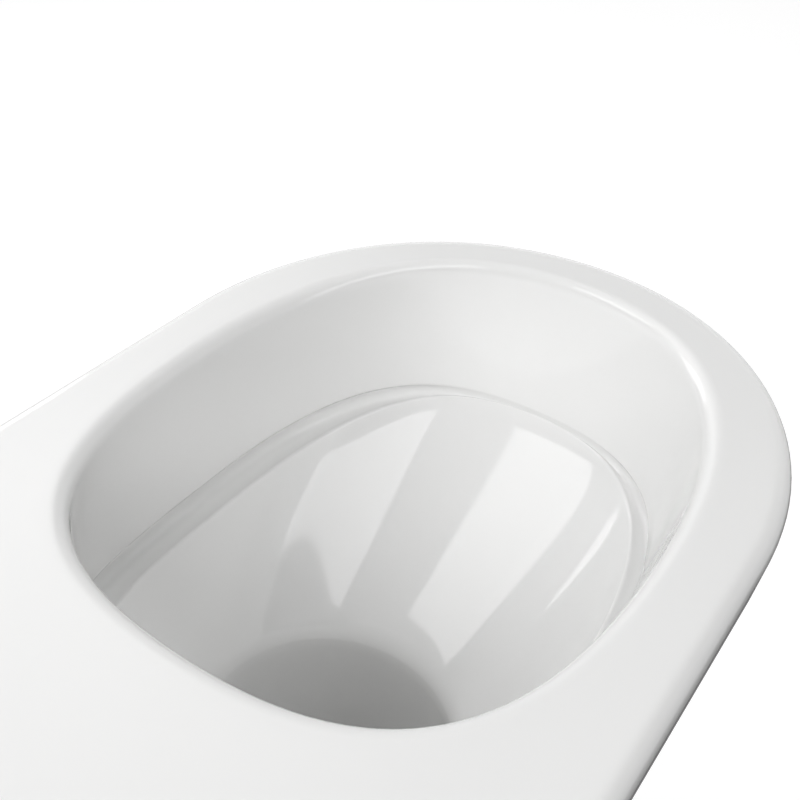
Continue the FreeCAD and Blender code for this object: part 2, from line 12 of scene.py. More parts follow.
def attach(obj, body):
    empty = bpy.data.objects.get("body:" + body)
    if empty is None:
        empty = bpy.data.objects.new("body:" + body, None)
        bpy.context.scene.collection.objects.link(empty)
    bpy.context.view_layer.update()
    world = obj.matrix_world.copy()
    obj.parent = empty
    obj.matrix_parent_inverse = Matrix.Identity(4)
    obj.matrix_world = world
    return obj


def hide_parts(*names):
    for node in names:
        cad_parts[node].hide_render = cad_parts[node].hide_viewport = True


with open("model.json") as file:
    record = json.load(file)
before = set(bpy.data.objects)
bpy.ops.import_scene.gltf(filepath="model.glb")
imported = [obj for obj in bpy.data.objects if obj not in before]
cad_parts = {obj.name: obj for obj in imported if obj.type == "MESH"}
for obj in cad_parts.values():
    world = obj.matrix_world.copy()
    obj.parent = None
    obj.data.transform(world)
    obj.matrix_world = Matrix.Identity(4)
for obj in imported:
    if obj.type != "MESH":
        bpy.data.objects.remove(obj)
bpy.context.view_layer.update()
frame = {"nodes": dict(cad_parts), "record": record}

bl_info = {
    "name": "Wall hung toilet",
    "version": (1, 0, 0),
    "blender": (4, 5, 0),
    "location": "View3D > Sidebar > Toilet",
    "description": "Builds a glazed ceramic wall hung pan with its wall fixing and pipes, on a plain stage",
    "category": "Add Mesh",
}

# Steps along the stretches of an outline, round edges and bends, and round holes
QUARTER_STEPS = 32
SIDE_STEPS = 20
REAR_STEPS = QUARTER_STEPS - SIDE_STEPS
EDGE_STEPS = 10
UNDERSIDE_STEPS = 8
SKIRT_STEPS = 18
SUMP_STEPS = 6
LIP_STEPS = 8
CHANNEL_STEPS = 5
TRAP_STEPS = 12
ROUND_STEPS = 48

# Shares of the sump's depth, from its floor up, and how far its sides have drawn in there
SUMP_TAPER = ((1, 0.026), (0.9, 0.014), (0.5, 0.008), (0.04, 0.002))

# Rows between bends: shares of the floor and of the channel, depths of the wall, shares of the deck
FLOOR_ROWS = (0.88, 0.8, 0.7, 0.6, 0.5, 0.4, 0.3, 0.2, 0.12, 0.06)
CHANNEL_ROWS = (0.8, 0.7, 0.6, 0.5, 0.4, 0.3, 0.2)
WALL_ROWS = (0.066, 0.056, 0.046, 0.036, 0.026, 0.018, 0.012)
DECK_ROWS = (0.04, 0.35, 0.7)

# Where the bowl's soft bends end: at shares of the floor and of the channel, and above the wall's foot
LIP_END = 0.95
FLOOR_EDGE = 0.015
CHANNEL_LOW = 0.94
CHANNEL_HIGH = 0.12
WALL_FOOT = 0.002

# Plain strips beside the rounding of the rim and of the skirt
RIM_MARGIN = 0.002
SKIRT_MARGIN = 0.003

# The trap's course: its climb, its bends as a share of its rise, and its ends
TRAP_CLIMB = math.radians(75)
TRAP_BEND_SHARE = 0.43
TRAP_ABOVE_FLOOR = 0.001
TRAP_INTO_OUTLET = 0.002
OUTLET_STRAIGHT = 0.004

# Cutters: how far they stand past the surface, and the angles in degrees round a hinge hole's mouth
PAST_SURFACE = 0.01
MOUTH_ANGLES = (0, 22, 45, 66, 84)

# Points nearer than the first are merged, edges below the second dropped, edges above the angle kept sharp
MERGE_DISTANCE = 1e-6
LEAST_EDGE = 1e-7
SHARP_ANGLE = math.radians(35)

# What all the finishes share
CLOUD_DETAIL = 3.0
GRAIN_DETAIL = 2.0
COAT_ROUGHNESS = 0.03
SURFACE_IOR = 1.5

# Floor and camera, with the sensor's width in millimetres
FLOOR_ROUGHNESS = 0.9
SENSOR_WIDTH = 36.0
NEAREST_SEEN = 0.01


def length(name, default, description):
    """A size in metres."""
    return FloatProperty(name=name, description=description, default=default, unit="LENGTH", precision=4)


def share(name, default, description):
    """A plain number."""
    return FloatProperty(name=name, description=description, default=default)


def angle(name, degrees, description):
    """An angle, given in degrees."""
    return FloatProperty(
        name=name, description=description, default=math.radians(degrees), subtype="ANGLE"
    )


def colour(name, default, description):
    """A colour in red, green and blue."""
    return FloatVectorProperty(
        name=name, description=description, default=default, size=3, subtype="COLOR", min=0.0, max=1.0
    )


class PanSizes(bpy.types.PropertyGroup):
    """Sizes of the ceramic pan and its bowl"""

    width: length("Width", 0.36, "Width across the straight sides")
    projection: length("Projection", 0.54, "Distance from the wall to the nose")
    height: length("Height", 0.345, "Height from the underside to the rim")
    rim_height: length("Rim height", 0.08, "Height of the rim above the wall studs")
    rear: length("Rear gap", 0.004, "Gap for the foam mat between the pan and the wall")
    nose_length: length("Nose length", 0.189, "Length of the rounded nose")
    nose_fullness: share("Nose fullness", 0.563, "How square the nose is in plan")
    side_taper: share("Side taper", 0.5, "Share of the half width lost at the underside")
    side_taper_power: share("Side taper power", 1.4, "How late the sides draw in towards the underside")
    nose_tuck: share("Nose tuck", 0.48, "Share of the projection lost at the underside")
    nose_tuck_power: share("Nose tuck power", 1.9, "How late the nose draws in towards the underside")
    nose_shortening: share("Nose shortening", 0.45, "Share of the nose length lost at the underside")
    rim_edge_radius: length("Rim edge radius", 0.01, "Rounding of the outer edge of the rim")
    underside_radius: length("Underside radius", 0.025, "Rounding of the lower edge")
    side_rim: length("Side rim", 0.04, "Width of the rim beside the opening")
    nose_rim: length("Nose rim", 0.035, "Width of the rim in front of the opening")
    deck_length: length("Deck length", 0.159, "Distance from the wall to the opening")
    opening_edge_radius: length("Opening edge radius", 0.01, "Rounding of the inner edge of the rim")
    opening_widest: length("Opening widest", 0.225, "Distance from the nose to the opening's widest point")
    opening_front: share("Opening front fullness", 0.63, "How square the front of the opening is")
    opening_back: share("Opening back fullness", 0.71, "How square the back of the opening is")
    wall_depth: length("Wall depth", 0.077, "Depth of the leaning inner wall")
    side_lean: length("Side lean", 0.017, "How far the side walls draw in over their depth")
    front_lean: length("Front lean", 0.035, "How far the front wall draws in over its depth")
    back_lean: length("Back lean", 0.004, "How far the back wall draws in over its depth")
    foot_widest: length("Foot widest", 0.24, "Distance from the nose to the widest point of the wall's foot")
    foot_front: share("Foot front fullness", 0.7, "How square the front of the wall's foot is")
    foot_back: share("Foot back fullness", 0.98, "How square the back of the wall's foot is")
    channel_height: length("Channel height", 0.015, "Height of the flush channel under the wall")
    channel_ledge: length("Channel ledge", 0.0095, "How far the channel's lower edge stands in from the wall")
    channel_undercut: length("Channel undercut", 0.006, "How far the flush channel reaches behind the wall")
    channel_gutter: length("Channel gutter", 0.007, "How far the channel is hollowed below its lower edge")
    channel_fade: share("Channel fade", 0.75, "Share of the channel's height lost at the nose")
    floor_curve: share("Floor curve", 0.85, "How soon the bowl's floor falls away")
    sump_mouth_depth: length("Sump mouth depth", 0.165, "Depth of the sump's mouth below the rim")
    sump_mouth_width: length("Sump mouth width", 0.152, "Width of the sump's mouth")
    sump_mouth_length: length("Sump mouth length", 0.142, "Length of the sump's mouth")
    sump_depth: length("Sump depth", 0.318, "Depth of the sump's floor below the rim")
    sump_back: length("Sump back", 0.176, "Distance from the wall to the sump's mouth")
    sump_fullness: share("Sump fullness", 0.555, "How square the sump is in plan")
    sump_front_draw: share("Sump front draw", 1.2, "How far the sump's front draws in, against its sides")
    sump_back_draw: share("Sump back draw", 0.4, "How far the sump's back draws out, against its sides")


class HoleSizes(bpy.types.PropertyGroup):
    """Sizes of the holes in the ceramic"""

    hinge_spacing: length("Hinge hole spacing", 0.155, "Distance between the seat hinge holes")
    hinge_radius: length("Hinge hole radius", 0.0075, "Radius of a seat hinge hole")
    hinge_depth: length("Hinge hole depth", 0.036, "Depth of a seat hinge hole")
    hinge_rounding: length("Hinge hole rounding", 0.0015, "Rounding of the mouth of a seat hinge hole")
    hinge_to_wall: length("Hinge to wall", 0.1, "Distance from the wall to the hinge holes")
    side_to_wall: length("Side hole to wall", 0.04, "Distance from the wall to the side screws")
    side_reach: length("Side reach", 0.1684, "Half width of the pan at the side screws")
    side_hole_length: length("Side hole length", 0.063, "Length of the hole for a side screw")
    cap_radius: length("Cap seat radius", 0.0123, "Radius of the seat for a side cap")
    cap_depth: length("Cap seat depth", 0.0055, "Depth of the seat for a side cap")
    screw_radius: length("Side hole radius", 0.009, "Radius of the hole for a side screw")
    stud_spacing: length("Stud spacing", 0.18, "Distance between the wall studs")
    pocket_radius: length("Pocket radius", 0.02, "Radius of the pocket for a fixing block")
    pocket_depth: length("Pocket depth", 0.102, "Distance from the wall to the end of a pocket")
    inlet_radius: length("Inlet radius", 0.0275, "Radius of the flush inlet")
    inlet_height: length("Inlet height", 0.035, "Height of the flush inlet above the studs")
    trap_radius: length("Trap radius", 0.032, "Radius of the trap's passage")
    outlet_radius: length("Outlet radius", 0.041, "Radius of the outlet's mouth")
    outlet_drop: length("Outlet drop", 0.1, "Depth of the outlet below the studs")
    outlet_taper: length("Outlet taper", 0.016, "Length over which the trap widens to the outlet")
    spigot_radius: length("Spigot radius", 0.051, "Outer radius of the outlet's spigot")
    spigot_to_wall: length("Spigot to wall", 0.03, "Distance from the wall to the end of the spigot")
    socket_radius: length("Socket radius", 0.0605, "Room for the waste connector's socket")
    socket_depth: length("Socket depth", 0.062, "Distance from the wall to the end of the socket's room")
    weir_rise: length("Weir rise", 0.015, "Height of the trap's crest above the outlet")


class Finishes(bpy.types.PropertyGroup):
    """Colours of the pieces"""

    glaze: colour("Glaze", (0.85, 0.85, 0.845), "White ceramic glaze")
    cap: colour("Cap", (0.86, 0.86, 0.855), "White plastic of the side caps")
    plastic: colour("White plastic", (0.8, 0.8, 0.79), "White plastic of the spreader and sleeves")
    grey_plastic: colour("Grey plastic", (0.2, 0.205, 0.21), "Grey plastic of the fixing")
    pipe: colour("Pipe", (0.018, 0.018, 0.019), "Black plastic of the pipes")
    rubber: colour("Rubber", (0.012, 0.012, 0.012), "Black rubber of the seals")
    foam: colour("Foam", (0.62, 0.63, 0.64), "Closed-cell foam of the mat")
    zinc: colour("Zinc", (0.62, 0.63, 0.64), "Zinc-plated steel of the studs and screws")


class StageSettings(bpy.types.PropertyGroup):
    """Camera, floor and backdrop"""

    camera_place: FloatVectorProperty(
        name="Camera place",
        description="Where the camera stands",
        default=(-0.2305, 0.0131, 0.4192),
        size=3,
        subtype="TRANSLATION",
    )
    camera_yaw: angle("Camera yaw", 35.05, "Turn from -Y towards +X")
    camera_pitch: angle("Camera pitch", 37.78, "Tilt below the horizon")
    camera_roll: angle("Camera roll", 0.81, "Turn about the line of sight")
    camera_lens: share("Camera lens", 46.73, "Focal length in millimetres on a 36 mm sensor")
    floor_height: length("Floor height", -0.32, "Height of the floor, 400 mm under the rim")
    floor_reach: length("Floor reach", 6.0, "Half the side of the square floor")
    floor: colour("Floor", (0.2, 0.2, 0.2), "Floor under the lift")
    floor_lift: share("Floor lift", 0.86, "Light that only the camera and mirrors see on the floor")
    shadow_middle: length("Shadow middle", 0.4, "Distance from the wall to the middle of the bare floor")
    shadow_inner: length("Shadow inner", 0.7, "Mirrors see the bare floor this near to the pan")
    shadow_outer: length("Shadow outer", 1.4, "Mirrors see the lifted floor beyond this distance")
    sky: colour("Sky", (1.0, 1.0, 1.0), "Soft light from all round")
    sky_level: share("Sky level", 0.11, "Strength of the soft light on the object")
    backdrop_edge: share("Backdrop edge", 0.3, "Rise of the line below which the backdrop is white")
    ceiling_edge: share("Ceiling edge", 0.6, "Rise of the line above which the dim ceiling begins")


# A row is one outline of the bowl, whose front tip may rise, and the rest describe looks and light
Row = namedtuple("Row", "depth half front back widest front_fullness back_fullness rise")
Surface = namedtuple("Surface", "shade shade_scale rough grain_scale stretch", defaults=((1, 1, 1),))
Finish = namedtuple("Finish", "colour surface bump metallic coat", defaults=(0.0, 0.0))
Lamp = namedtuple("Lamp", "place target size power turn mirrored soft", defaults=(0.0, True, False))

# How colour and roughness vary over each kind of surface: clouds of shade, and a finer grain
SURFACES = {
    "glaze_surface": Surface(shade=0.02, shade_scale=9.0, rough=(0.045, 0.085), grain_scale=70.0),
    "moulded_surface": Surface(shade=0.05, shade_scale=25.0, rough=(0.28, 0.42), grain_scale=900.0),
    "drawn_surface": Surface(
        shade=0.25, shade_scale=18.0, rough=(0.32, 0.5), grain_scale=700.0, stretch=(1, 0.06, 1)
    ),
    "rubber_surface": Surface(shade=0.3, shade_scale=40.0, rough=(0.6, 0.8), grain_scale=1400.0),
    "plated_surface": Surface(shade=0.18, shade_scale=60.0, rough=(0.22, 0.4), grain_scale=600.0),
    "foam_surface": Surface(shade=0.22, shade_scale=420.0, rough=(0.8, 0.95), grain_scale=620.0),
}

# Each finish has a colour, a surface, and the strength and depth of its relief
FINISHES = {
    "white_glaze": Finish("glaze", "glaze_surface", bump=(0.03, 0.0004), coat=0.5),
    "white_plastic": Finish("plastic", "moulded_surface", bump=(0.1, 0.0002)),
    "cap_white": Finish("cap", "moulded_surface", bump=(0.05, 0.0001), coat=0.3),
    "grey_plastic": Finish("grey_plastic", "moulded_surface", bump=(0.2, 0.0003)),
    "black_pipe": Finish("pipe", "drawn_surface", bump=(0.15, 0.0003)),
    "black_rubber": Finish("rubber", "rubber_surface", bump=(0.3, 0.0004)),
    "foam": Finish("foam", "foam_surface", bump=(0.6, 0.0008)),
    "zinc_steel": Finish("zinc", "plated_surface", bump=(0.1, 0.0002), metallic=1.0),
}

# Softboxes are mirrored in the glaze, and fills only light it
LAMPS = {
    "left_softbox": Lamp(
        place=(-1.3, -0.55, 1.4), target=(-1.3, -0.55, 0), size=(2.7, 0.45), power=7.5, turn=20.0
    ),
    "right_softbox": Lamp(
        place=(0.82, -0.115, 1.4), target=(0.82, -0.115, 0), size=(0.64, 0.47), power=2.0
    ),
    "side_softbox": Lamp(
        place=(1.9, -0.83, 0.75), target=(0, -0.35, 0), size=(0.7, 0.9), power=3.5
    ),
    "back_left_fill": Lamp(
        place=(-1.0, 1.6, 1.35), target=(0, -0.35, 0), size=(1.8, 1.4), power=26.0, mirrored=False
    ),
    "back_right_fill": Lamp(
        place=(1.0, 1.6, 1.35), target=(0, -0.35, 0), size=(1.8, 1.4), power=26.0, mirrored=False
    ),
    "front_fill": Lamp(
        place=(0.5, -2.2, 1.9), target=(0, -0.3, 0), size=(2.0, 1.4), power=22.0, mirrored=False
    ),
    "deck_softbox": Lamp(
        place=(1.5, -0.95, 1.4), target=(0, -0.3, 0), size=(2.4, 2.6), power=28.0, soft=True
    ),
}


def quarter(start, end, corner, fullness):
    """Points along a quarter oval that is drawn towards the corner where its end tangents meet."""
    start, end, corner = Vector(start), Vector(end), Vector(corner)
    first, second = start.lerp(corner, fullness), end.lerp(corner, fullness)
    return interpolate_bezier(start, first, second, end, QUARTER_STEPS + 1)


def egg_half(sizes, row):
    """The right half of a bowl outline, from its front tip, which may rise, to its back."""
    z = sizes.rim_height - row.depth
    side = (row.half, row.widest, z)
    nose = quarter((0, row.front, z), side, (row.half, row.front, z), row.front_fullness)
    tail = quarter(side, (0, row.back, z), (row.half, row.back, z), row.back_fullness)
    for i, place in enumerate(nose):
        t = i / QUARTER_STEPS
        place.z += row.rise * (1 - t) ** 2 * (1 + 2 * t)
    return nose[:-1] + tail


def body_half(sizes, depth, side_inset, nose_inset):
    """The right half of the pan's outer outline, from the nose along the side and then along the wall."""
    down = depth / sizes.height
    z = sizes.rim_height - depth
    half = sizes.width / 2 * (1 - sizes.side_taper * down**sizes.side_taper_power) - side_inset
    tip = -sizes.projection * (1 - sizes.nose_tuck * down**sizes.nose_tuck_power)
    side_end = tip + sizes.nose_length * (1 - sizes.nose_shortening * down**2)
    tip += nose_inset
    side = Vector((half, side_end, z))
    corner = Vector((half, -sizes.rear, z))
    middle = Vector((0, -sizes.rear, z))
    points = quarter((0, tip, z), side, (half, tip, z), sizes.nose_fullness)[:-1]
    points += [side.lerp(corner, i / SIDE_STEPS) for i in range(SIDE_STEPS)]
    return points + [corner.lerp(middle, i / REAR_STEPS) for i in range(REAR_STEPS + 1)]


def edge_inset(from_edge, radius, lean):
    """How far a rounded edge draws back from the sharp one, at a distance from its flat face."""
    if from_edge >= radius * (1 - math.sin(lean)):
        return 0.0
    sharp = from_edge * math.tan(lean) + radius * (1 - math.sin(lean)) / math.cos(lean)
    return sharp - math.sqrt(max(2 * radius * from_edge - from_edge**2, 0.0))


def round_depths(radius, lean, steps):
    """Distances from the flat face at even angles round an edge, ending on the flat face."""
    widest = math.pi / 2 - lean
    return [radius * (1 - math.cos(widest * i / steps)) for i in range(steps, -1, -1)]


def bend_rows(first, corner, last, steps):
    """Rows along a soft bend between two rows, drawn towards a corner row."""
    rows = []
    for i in range(steps + 1):
        t = i / steps
        weights = ((1 - t) ** 2, 2 * t * (1 - t), t * t)
        mixed = [sum(w * v for w, v in zip(weights, values)) for values in zip(first, corner, last)]
        rows.append(Row(*mixed))
    return rows


def smooth_value(a, b, c, d, t):
    """A value from b to c on a smooth curve that comes from a and goes on to d."""
    return b + 0.5 * t * (c - a + t * (2 * a - 5 * b + 4 * c - d + t * (3 * (b - c) + d - a)))


def smooth_rows(keys, steps):
    """Rows along a smooth curve through key rows."""
    rows = []
    for i in range(len(keys) - 1):
        before, after = keys[max(i - 1, 0)], keys[min(i + 2, len(keys) - 1)]
        for j in range(steps):
            neighbours = zip(before, keys[i], keys[i + 1], after)
            rows.append(Row(*[smooth_value(*values, j / steps) for values in neighbours]))
    return rows + [keys[-1]]


class Bowl:
    """Rows of the bowl's plan, stage by stage from the rim down."""

    def __init__(self, sizes):
        self.sizes = sizes

    def wall(self, depth):
        """A row of the leaning wall, which rounds over onto the rim."""
        s = self.sizes
        fall = depth / s.wall_depth
        leans = [math.atan(lean / s.wall_depth) for lean in (s.side_lean, s.front_lean, s.back_lean)]
        side, front, back = (edge_inset(depth, s.opening_edge_radius, lean) for lean in leans)
        return Row(
            depth=depth,
            half=s.width / 2 - s.side_rim - s.side_lean * fall + side,
            front=s.nose_rim - s.projection + s.front_lean * fall - front,
            back=-s.deck_length - s.back_lean * fall + back,
            widest=s.opening_widest + (s.foot_widest - s.opening_widest) * fall - s.projection,
            front_fullness=s.opening_front + (s.foot_front - s.opening_front) * fall,
            back_fullness=s.opening_back + (s.foot_back - s.opening_back) * fall,
            rise=0.0,
        )

    def channel(self, along):
        """A row of the flush channel, whose hollow is widest halfway and deepest two thirds along."""
        s = self.sizes
        foot = self.wall(s.wall_depth)
        hollow = 4 * along * (1 - along)
        gutter = 27 / 4 * along**2 * (1 - along)
        ledge = s.channel_ledge * (hollow / 2 - along)
        drop = s.channel_height * along + s.channel_gutter * gutter
        return foot._replace(
            depth=foot.depth + drop,
            half=foot.half + ledge + s.channel_undercut * hollow,
            back=foot.back + ledge,
            rise=drop * s.channel_fade,
        )

    def floor(self, along):
        """A row of the sloping floor, from the channel to the sump's mouth."""
        s = self.sizes
        top = s.wall_depth + s.channel_height
        mixed = [a + (b - a) * along for a, b in zip(self.channel(1), self.sump(0, 0))]
        return Row(*mixed)._replace(depth=top + (s.sump_mouth_depth - top) * along**s.floor_curve)

    def sump(self, along, draw):
        """A row of the sump, where its sides have drawn in by some length."""
        s = self.sizes
        front = -s.sump_back - s.sump_mouth_length + s.sump_front_draw * draw
        back = -s.sump_back - s.sump_back_draw * draw
        return Row(
            depth=s.sump_mouth_depth + (s.sump_depth - s.sump_mouth_depth) * along,
            half=s.sump_mouth_width / 2 - draw,
            front=front,
            back=back,
            widest=(front + back) / 2,
            front_fullness=s.sump_fullness,
            back_fullness=s.sump_fullness,
            rise=0.0,
        )


def bowl_rows(sizes):
    """Every row of the bowl, from the sump's floor up to the flat rim."""
    bowl = Bowl(sizes)
    sump = [bowl.sump(along, draw) for along, draw in SUMP_TAPER]
    wall_foot = bowl.wall(sizes.wall_depth - WALL_FOOT)
    rows = smooth_rows(sump, SUMP_STEPS)
    rows += bend_rows(sump[-1], bowl.floor(1), bowl.floor(LIP_END), LIP_STEPS)[1:]
    rows += [bowl.floor(along) for along in FLOOR_ROWS]
    rows += bend_rows(bowl.floor(FLOOR_EDGE), bowl.channel(1), bowl.channel(CHANNEL_LOW), CHANNEL_STEPS)
    rows += [bowl.channel(along) for along in CHANNEL_ROWS]
    rows += bend_rows(bowl.channel(CHANNEL_HIGH), bowl.channel(0), wall_foot, CHANNEL_STEPS)
    rows += [bowl.wall(depth) for depth in WALL_ROWS]
    rows += [bowl.wall(depth) for depth in round_depths(sizes.opening_edge_radius, 0.0, EDGE_STEPS)]
    return rows


def body_rings(sizes):
    """Half outlines of the outer form, from the flat rim down to the underside."""
    rim, foot = sizes.rim_edge_radius, sizes.underside_radius
    rings = [body_half(sizes, 0, rim + RIM_MARGIN, rim + RIM_MARGIN)]
    for depth in reversed(round_depths(rim, 0.0, EDGE_STEPS)):
        inset = edge_inset(depth, rim, 0.0)
        rings.append(body_half(sizes, depth, inset, inset))
    side_lean = math.atan(sizes.width / 2 * sizes.side_taper * sizes.side_taper_power / sizes.height)
    nose_lean = math.atan(sizes.projection * sizes.nose_tuck * sizes.nose_tuck_power / sizes.height)
    foot_heights = round_depths(foot, side_lean, UNDERSIDE_STEPS)
    skirt_start = rim + SKIRT_MARGIN
    skirt_end = sizes.height - foot_heights[0] - SKIRT_MARGIN
    for i in range(SKIRT_STEPS + 1):
        depth = skirt_start + (skirt_end - skirt_start) * i / SKIRT_STEPS
        rings.append(body_half(sizes, depth, 0, 0))
    for up in foot_heights:
        side_inset, nose_inset = edge_inset(up, foot, side_lean), edge_inset(up, foot, nose_lean)
        rings.append(body_half(sizes, sizes.height - up, side_inset, nose_inset))
    return rings


def loft(bm, outlines):
    """Extrudes an open outline from ring to ring."""
    place = bm.verts.layers.int.new("place")
    chain = [bm.verts.new(point) for point in outlines[0]]
    for i, vert in enumerate(chain):
        vert[place] = i
    edges = [bm.edges.new(pair) for pair in zip(chain, chain[1:])]
    for outline in outlines[1:]:
        made = bmesh.ops.extrude_edge_only(bm, edges=edges)["geom"]
        fresh = {part for part in made if isinstance(part, bmesh.types.BMVert)}
        for vert in fresh:
            vert.co = outline[vert[place]]
        made_edges = [part for part in made if isinstance(part, bmesh.types.BMEdge)]
        edges = [edge for edge in made_edges if fresh.issuperset(edge.verts)]
    bm.verts.layers.int.remove(place)


def clean(bm):
    """Merges doubled points, drops faces that have shrunk away and turns all faces outwards."""
    bmesh.ops.remove_doubles(bm, verts=bm.verts[:], dist=MERGE_DISTANCE)
    bmesh.ops.dissolve_degenerate(bm, edges=bm.edges[:], dist=LEAST_EDGE)
    bmesh.ops.recalc_face_normals(bm, faces=bm.faces[:])


def soften(bm):
    """Smooth faces, with sharp edges where two faces meet at a marked angle."""
    for face in bm.faces:
        face.smooth = True
    for edge in bm.edges:
        edge.smooth = edge.calc_face_angle(math.pi) < SHARP_ANGLE


def spun(bm, profile, origin, axis):
    """Spins a profile of (radius, distance along the axis) pairs about an axis."""
    axis = Vector(axis)
    out = axis.orthogonal().normalized()
    chain = [bm.verts.new(Vector(origin) + axis * along + out * radius) for radius, along in profile]
    edges = [bm.edges.new(pair) for pair in zip(chain, chain[1:])]
    bmesh.ops.spin(
        bm, geom=chain + edges, cent=origin, axis=axis, angle=math.tau, steps=ROUND_STEPS, use_merge=True
    )


def upward(heading):
    """The upward direction across a passage that leaves the wall in the middle plane at a heading."""
    return Vector((0, math.sin(heading), math.cos(heading)))


def sweep(bm, stations):
    """A round tube through stations whose headings lie in the middle plane."""
    place = bm.verts.layers.int.new("place")
    ring = bmesh.ops.create_circle(bm, cap_ends=True, segments=ROUND_STEPS, radius=1.0)["verts"]
    for i, vert in enumerate(ring):
        vert[place] = i
    face = ring[0].link_faces[0]
    for number, (centre, heading, radius) in enumerate(stations):
        if number:
            made = bmesh.ops.extrude_face_region(bm, geom=[face])["geom"]
            bmesh.ops.delete(bm, geom=[face], context="FACES_ONLY")
            face = next(part for part in made if isinstance(part, bmesh.types.BMFace))
        up = upward(heading)
        for vert in face.verts:
            a = math.tau * vert[place] / ROUND_STEPS
            vert.co = centre + radius * (Vector((math.cos(a), 0, 0)) + up * math.sin(a))
    bmesh.ops.holes_fill(bm, edges=[edge for edge in bm.edges if edge.is_boundary], sides=ROUND_STEPS)
    bm.verts.layers.int.remove(place)


def trap_bend(here, heading, turn, radius):
    """Places and headings round a bend of the trap, which turns upwards where the turn is positive."""
    reach = math.copysign(radius, turn)
    centre = here + upward(heading) * reach
    headings = [heading + turn * i / TRAP_STEPS for i in range(TRAP_STEPS + 1)]
    return [(centre - upward(now) * reach, now) for now in headings]


def passage_radius(holes, place):
    """The trap's radius at a place, which widens towards the outlet."""
    taper = min(max(1 + (holes.spigot_to_wall + place.y) / holes.outlet_taper, 0.0), 1.0)
    return holes.trap_radius + (holes.outlet_radius - holes.trap_radius) * taper


def trap_stations(sizes, holes):
    """Centre, heading and radius along the trap, from the wall to the sump."""
    throat_z = sizes.rim_height - sizes.sump_depth + holes.trap_radius + TRAP_ABOVE_FLOOR
    rise = holes.weir_rise - holes.outlet_drop - throat_z
    bend = TRAP_BEND_SHARE * rise
    slope = (rise - 2 * bend * (1 - math.cos(TRAP_CLIMB))) / math.sin(TRAP_CLIMB)
    fall = math.acos(1 - holes.weir_rise / (2 * bend))
    outlet = Vector((0, -holes.spigot_to_wall, -holes.outlet_drop))
    course = [(outlet + Vector((0, TRAP_INTO_OUTLET, 0)), 0.0)]
    course += trap_bend(outlet - Vector((0, OUTLET_STRAIGHT, 0)), 0.0, fall, bend)
    course += trap_bend(*course[-1], -fall - TRAP_CLIMB, bend)[1:]
    place, heading = course[-1]
    downhill = Vector((0, -math.cos(heading), math.sin(heading)))
    course.append((place + downhill * slope, heading))
    course += trap_bend(*course[-1], TRAP_CLIMB, bend)[1:]
    sump_middle = -sizes.sump_back - sizes.sump_mouth_length / 2
    course.append((Vector((0, sump_middle, throat_z)), 0.0))
    return [(place, heading, passage_radius(holes, place)) for place, heading in course]


def blind_hole(radius, depth):
    """A cutter's profile: a round hole from just outside the wall's plane."""
    return [(0, -PAST_SURFACE), (radius, -PAST_SURFACE), (radius, depth), (0, depth)]


def hinge_hole(holes):
    """A cutter's profile: a blind hole whose mouth rounds over onto the deck."""
    radius, rounding = holes.hinge_radius, holes.hinge_rounding
    profile = [(0.0, -holes.hinge_depth), (radius, -holes.hinge_depth)]
    for degrees in MOUTH_ANGLES:
        a = math.radians(degrees)
        profile.append((radius + rounding * (1 - math.cos(a)), rounding * (math.sin(a) - 1)))
    mouth = profile[-1][0]
    return profile + [(mouth, PAST_SURFACE), (0.0, PAST_SURFACE)]


def socket_room(holes):
    """A cutter's profile: the room round the spigot for the waste connector's socket."""
    return [
        (0, -PAST_SURFACE),
        (holes.socket_radius, -PAST_SURFACE),
        (holes.socket_radius, holes.socket_depth),
        (holes.spigot_radius, holes.socket_depth),
        (holes.spigot_radius, holes.spigot_to_wall),
        (0, holes.spigot_to_wall),
    ]


def side_hole(holes):
    """A cutter's profile: the hole for a side screw, with the seat for its cap."""
    past_side = 2 * PAST_SURFACE
    return [
        (0, -holes.side_hole_length),
        (holes.screw_radius, -holes.side_hole_length),
        (holes.screw_radius, -holes.cap_depth),
        (holes.cap_radius, -holes.cap_depth),
        (holes.cap_radius, past_side),
        (0, past_side),
    ]


def mesh_object(name, bm):
    """Puts a finished bmesh into a new object in the scene."""
    mesh = bpy.data.meshes.new(name)
    bm.to_mesh(mesh)
    bm.free()
    made = bpy.data.objects.new(name, mesh)
    bpy.context.scene.collection.objects.link(made)
    return made


def straight_holes(sizes, holes):
    """One object that holds the shapes of the holes in the deck and in the wall side."""
    bm = bmesh.new()
    from_wall = (0, -1, 0)
    for side in (-1, 1):
        hinge = (side * holes.hinge_spacing / 2, -holes.hinge_to_wall, sizes.rim_height)
        spun(bm, hinge_hole(holes), hinge, (0, 0, 1))
        pocket = (side * holes.stud_spacing / 2, 0, 0)
        spun(bm, blind_hole(holes.pocket_radius, holes.pocket_depth), pocket, from_wall)
    inlet_depth = sizes.deck_length + 2 * sizes.opening_edge_radius
    spun(bm, blind_hole(holes.inlet_radius, inlet_depth), (0, 0, holes.inlet_height), from_wall)
    spun(bm, socket_room(holes), (0, 0, -holes.outlet_drop), from_wall)
    clean(bm)
    return mesh_object("straight_holes", bm)


def side_holes(sizes, holes):
    """One object that holds the shapes of both side holes, which open into the stud pockets."""
    bm = bmesh.new()
    for side in (-1, 1):
        spun(bm, side_hole(holes), (side * holes.side_reach, -holes.side_to_wall, 0), (side, 0, 0))
    clean(bm)
    return mesh_object("side_holes", bm)


def trap_passage(sizes, holes):
    """The shape of the trap, which joins the sump to the outlet's room."""
    bm = bmesh.new()
    sweep(bm, trap_stations(sizes, holes))
    clean(bm)
    return mesh_object("trap_passage", bm)


